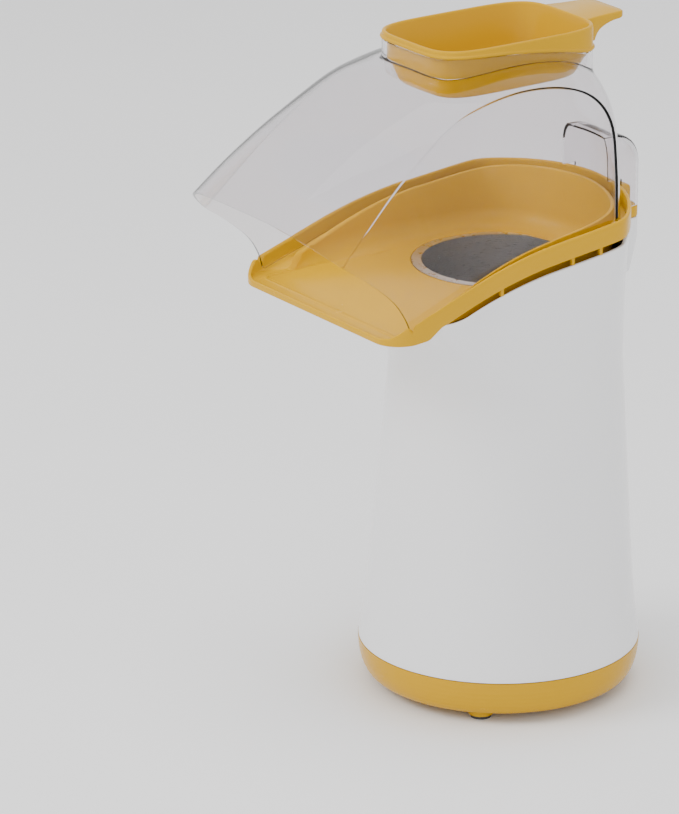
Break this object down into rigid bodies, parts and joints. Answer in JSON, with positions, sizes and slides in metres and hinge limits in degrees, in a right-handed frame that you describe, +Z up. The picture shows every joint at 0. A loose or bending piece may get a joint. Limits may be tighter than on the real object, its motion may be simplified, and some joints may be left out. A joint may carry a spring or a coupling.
{
  "type": "hot air popcorn maker",
  "caption": "Round hot-air popcorn maker with a flared white body, yellow chute tray and base, a clear lift-off hood with a visor-shaped mouth and a lift-out measuring cup on top.",
  "frame": {"origin": "bottom centre of the overall box, on the table under the middle of the object's length", "axes": "+Z up along the body, the chute and the hood's mouth face -Y, the cup's handle and the cord gland face +Y, X is the width and the shape is mirror symmetric across X = 0"},
  "size_m": [0.148, 0.2425, 0.3555],
  "materials": {
    "white_plastic": "glossy moulded white",
    "yellow_plastic": "glossy moulded yellow",
    "clear_plastic": "clear polycarbonate, polished",
    "rubber_grey": "matte",
    "aluminium": "spun",
    "sheet_steel": "galvanised",
    "screw_steel": "zinc plated",
    "black_plastic": "moulded black",
    "mica": "sheet mica",
    "heater_wire": "oxidised resistance wire",
    "copper": "bare copper",
    "brass": "bare brass",
    "carbon": "pressed carbon",
    "ferrite": "sintered",
    "lamination": "stacked sheet",
    "phenolic_brown": "phenolic",
    "board_green": "circuit board",
    "silicone_ivory": "silicone",
    "fan_grey": "moulded grey",
    "wire_white": "insulated lead",
    "wire_red": "insulated lead"
  },
  "bodies": {
    "appliance": {"foot_pads": "rubber_grey", "base_pan": "yellow_plastic", "base_screws": "screw_steel", "cord_gland": "rubber_grey", "housing": "white_plastic", "chute_tray": "yellow_plastic", "tray_screws": "screw_steel", "popping_chamber": "aluminium", "chamber_gasket": "silicone_ivory", "heat_shield": "sheet_steel", "heater_former": "mica", "heater_coil": "heater_wire", "dropper_coil": "heater_wire", "thermostat": "phenolic_brown", "thermal_fuse": "screw_steel", "fan_deck": "black_plastic", "deck_screws": "screw_steel", "motor_can": "sheet_steel", "motor_end_cap": "black_plastic", "motor_magnets": "ferrite", "brush_holders": "brass", "carbon_brushes": "carbon", "shaft_bushes": "copper", "motor_screws": "screw_steel", "rectifier_board": "board_green", "rectifier_diodes": "carbon", "supply_leads": "wire_white", "motor_leads": "wire_red", "splice_caps": "silicone_ivory"},
    "rotor": {"motor_shaft": "screw_steel", "armature": "lamination", "commutator": "copper", "fan_impeller": "fan_grey", "fan_nut": "brass"},
    "hood": {"hood": "clear_plastic"},
    "cup": {"measuring_cup": "yellow_plastic"}
  },
  "joints": [
    {"name": "fan_spin", "type": "hinge", "parent": "appliance", "child": "rotor", "pos_m": [0, 0.04625, 0.056], "axis": [0, 0, 1], "continuous": true},
    {"name": "hood_lift", "type": "slide", "parent": "appliance", "child": "hood", "axis": [0, 0, 1], "range_m": [0, 0.06]},
    {"name": "cup_lift", "type": "slide", "parent": "hood", "child": "cup", "axis": [0, 0, 1], "range_m": [0, 0.04]}
  ]
}
